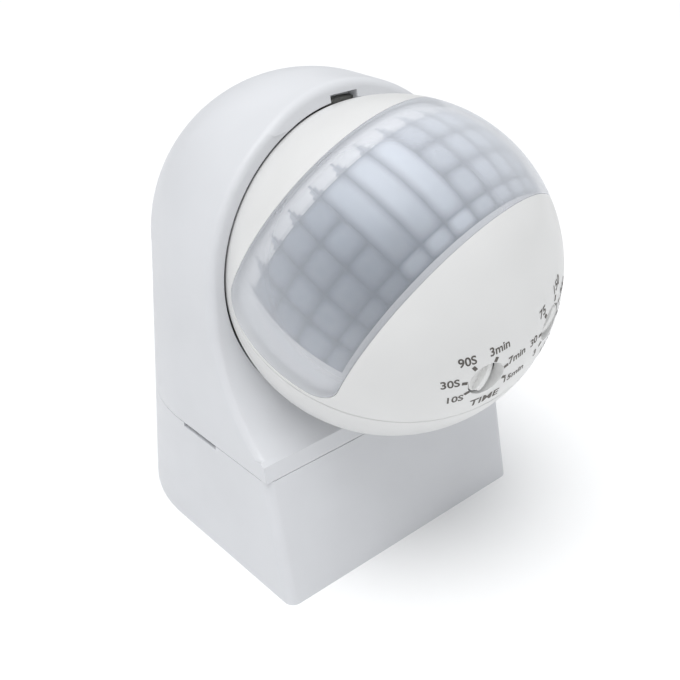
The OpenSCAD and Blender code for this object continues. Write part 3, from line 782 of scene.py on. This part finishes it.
class SENSOR_OT_dials(bpy.types.Operator):
    """Eases the edges of the two dials and prints their scales on the ball"""
    bl_idname = "sensor.dials"
    bl_label = "Dials and scales"

    pointer_turn = math.radians(39)
    grip_half, grip_reach = 0.6 * MM, 3.1 * MM
    mark_size, mark_r = (0.7 * MM, 1.05 * MM), 4.4 * MM
    figure_r, figure_spread = 6.0, 0.33    # the spread is added for each letter beside the dial
    word_place, word_scale = Vector((0.3, -6.5)) * MM, 1.3
    print_lift = 0.03 * MM

    # Each mark: its turn from the lens side towards the right, in degrees, and its figure.
    time_marks = ((-117, "10S"), (-79, "30S"), (-31, "90S"), (29, "3min"), (78, "7min"), (117, "15min"))
    lux_marks = ((-117, "3"), (-79, "30"), (-31, "75"), (29, "150"), (78, "300"), (117, "500"))

    def execute(self, context):
        for name, side, marks, word in (("time_dial", -1, self.time_marks, "TIME"),
                                        ("lux_dial", 1, self.lux_marks, "LUX")):
            bm = self.knob()
            bm.transform(HEAD @ BOARD_LEAN @ Matrix.Translation((side * DIAL_X, 0, 0))
                         @ Matrix.Rotation(self.pointer_turn, 4, "Z"))
            finish_piece(name + "_knob", bm, name, finish_of("dial"), [name])
            self.scale(name + "_scale", side * DIAL_X, marks, word)
        return {"FINISHED"}

    def knob(self):
        """One dial: a cupped disc on its shaft, with a domed grip across it and a raised pointer."""
        face, crest, back, shaft_end = (z * MM for z in (-31.5, -32.7, -28.8, -13.11))
        profile = ((0, face), (2.9, face), (3.15, face - 0.12 * MM), (3.32, face - 0.1 * MM),
                   (3.42, face + 0.1 * MM), (3.42, back - 0.15 * MM), (3.27, back), (2, back),
                   (2, shaft_end - 0.2 * MM), (1.8, shaft_end), (0, shaft_end))
        bm = bmesh.new()
        rim = [bm.verts.new((r * MM, 0, z)) for r, z in profile]
        line = [bm.edges.new(pair) for pair in zip(rim, rim[1:])]
        bmesh.ops.spin(bm, geom=rim + line, cent=ORIGIN, axis=Z_AXIS, angle=math.tau, steps=64,
                       use_merge=True)
        bmesh.ops.remove_doubles(bm, verts=bm.verts, dist=1e-6)
        grip = []
        for x in (-self.grip_half, self.grip_half):
            outline = [bm.verts.new((x, self.grip_reach * math.cos(turn),
                                     face + (crest - face) * math.sin(turn) ** 0.6))
                       for turn in (math.pi * k / 24 for k in range(25))]
            foot = [bm.verts.new((x, y, face + 0.3 * MM)) for y in (-self.grip_reach, self.grip_reach)]
            grip.append(bm.faces.new(outline + foot))
        bmesh.ops.bridge_loops(bm, edges=grip[0].edges[:] + grip[1].edges[:])
        crest_edges = [e for e in grip[0].edges[:] + grip[1].edges[:]
                       if all(v.co.z < face - 0.05 * MM for v in e.verts)]
        round_edges(bm, crest_edges, 0.18 * MM, 3)
        pointer = Matrix.Translation((2.45 * MM, 0, face - 0.06 * MM))
        bmesh.ops.create_cube(bm, size=1, matrix=pointer @ scaled(1.5 * MM, 0.4 * MM, 0.3 * MM))
        bmesh.ops.recalc_face_normals(bm, faces=bm.faces)
        return bm

    def scale(self, name, x, marks, word):
        """A dial's marks, figures and word, drawn flat and then laid on the ball."""
        centre = BOARD_LEAN @ Vector((x, 0, -math.sqrt(BALL_R ** 2 - x ** 2)))
        bm = bmesh.new()
        for turn, figure in marks:
            turn = math.radians(turn)
            out = Vector((math.sin(turn), math.cos(turn)))
            mark = Matrix.Translation((*(out * self.mark_r), 0)) @ Matrix.Rotation(-turn, 4, "Z")
            bmesh.ops.create_grid(bm, x_segments=2, y_segments=4, size=0.5,
                                  matrix=mark @ scaled(*self.mark_size, 1))
            reach = self.figure_r + self.figure_spread * len(figure) * abs(out.x)
            self.add_figure(bm, figure, out * reach * MM)
        self.add_figure(bm, word, self.word_place, self.word_scale)
        radius = BALL_R + self.print_lift
        for vert in bm.verts:
            n, b = vert.co.x + centre.x, vert.co.y - centre.y
            vert.co = Vector((n, -b, -math.sqrt(radius * radius - n * n - b * b)))
        bm.transform(HEAD)
        bmesh.ops.recalc_face_normals(bm, faces=bm.faces)
        for face in bm.faces:
            if face.normal.dot(face.calc_center_median() - BALL_CENTRE) < 0:
                face.normal_flip()
        finish_piece(name, bm, "head", finish_of("print"))

    def add_figure(self, bm, figure, place, scale=1.0):
        """Adds a printed figure, cut fine enough to lie on the ball."""
        text = bpy.data.curves.new("figure", "FONT")
        text.body, text.size = figure, 1
        text.align_x, text.align_y = "CENTER", "CENTER"
        text.offset = 0.02
        holder = bpy.data.objects.new("figure", text)
        bpy.context.scene.collection.objects.link(holder)
        depsgraph = bpy.context.evaluated_depsgraph_get()
        mesh = bpy.data.meshes.new_from_object(holder.evaluated_get(depsgraph))
        bpy.data.objects.remove(holder)
        shape = bmesh.new()
        shape.from_mesh(mesh)
        for step in range(-9, 10):
            for axis in (X_AXIS, Y_AXIS):
                bmesh.ops.bisect_plane(shape, geom=whole(shape), dist=1e-5, plane_co=axis * step * 0.2,
                                       plane_no=axis)
        size = dial_settings().figure_size * scale
        shape.transform(Matrix.Translation((place.x, place.y, 0)) @ scaled(0.92 * size, size, 1))
        shape.to_mesh(mesh)
        shape.free()
        bm.from_mesh(mesh)
        bpy.data.meshes.remove(mesh)


class SENSOR_OT_inner_parts(bpy.types.Operator):
    """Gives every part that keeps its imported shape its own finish"""
    bl_idname = "sensor.inner_parts"
    bl_label = "Fittings and electronics"

    finishes = {
        "wall_plate": "plate", "plate_seal": "rubber", "cable_grommet": "rubber",
        "housing_screws": "steel", "block_screws": "steel", "terminal_screws": "steel",
        "shell_screws": "steel", "board_screws": "steel", "stop_washer": "steel",
        "wave_washer": "steel", "clamp_nut": "steel", "terminal_block": "nylon",
        "terminal_clamps": "brass", "header_pins": "brass", "lead_wires": "leads",
        "clamp_stud": "stud", "lens_retainer": "inner", "main_board": "board", "pir_board": "board",
        "pir_element": "can", "photocell": "yellow", "status_led": "red", "relay": "blue",
        "mains_capacitor": "yellow", "electrolytic_capacitor": "dark", "varistor": "blue",
        "time_pot": "blue", "lux_pot": "blue",
    }

    def execute(self, context):
        for node, finish in self.finishes.items():
            slots = NODES[node].data.materials
            slots.clear()
            slots.append(finish_of(finish))
        return {"FINISHED"}


# ---------------------------------------------------------------- add-on

OPERATORS = (SENSOR_OT_stage, SENSOR_OT_housing, SENSOR_OT_cover, SENSOR_OT_ball_shells, SENSOR_OT_lens,
             SENSOR_OT_wiper_ring, SENSOR_OT_dials, SENSOR_OT_inner_parts)
SETTINGS = {"sensor_stage": StageSettings, "sensor_shells": ShellSettings, "sensor_lens": LensSettings,
            "sensor_dials": DialSettings}


class SENSOR_PT_panel(bpy.types.Panel):
    """Lists the settings and the pieces of the motion sensor"""
    bl_idname = "SENSOR_PT_panel"
    bl_label = "Motion sensor"
    bl_space_type = "VIEW_3D"
    bl_region_type = "UI"
    bl_category = "Motion sensor"

    def draw(self, context):
        for name, group in SETTINGS.items():
            box = self.layout.box()
            for key in group.__annotations__:
                box.prop(getattr(context.scene, name), key)
        for operator in OPERATORS:
            self.layout.operator(operator.bl_idname)


def register():
    for item in (*SETTINGS.values(), *OPERATORS, SENSOR_PT_panel):
        bpy.utils.register_class(item)
    for name, group in SETTINGS.items():
        setattr(bpy.types.Scene, name, bpy.props.PointerProperty(type=group))


def unregister():
    for name in SETTINGS:
        delattr(bpy.types.Scene, name)
    for item in (SENSOR_PT_panel, *reversed(OPERATORS), *SETTINGS.values()):
        bpy.utils.unregister_class(item)


def main():
    register()
    for operator in OPERATORS:
        group, name = operator.bl_idname.split(".")
        getattr(getattr(bpy.ops, group), name)()


if __name__ == "__main__":
    main()
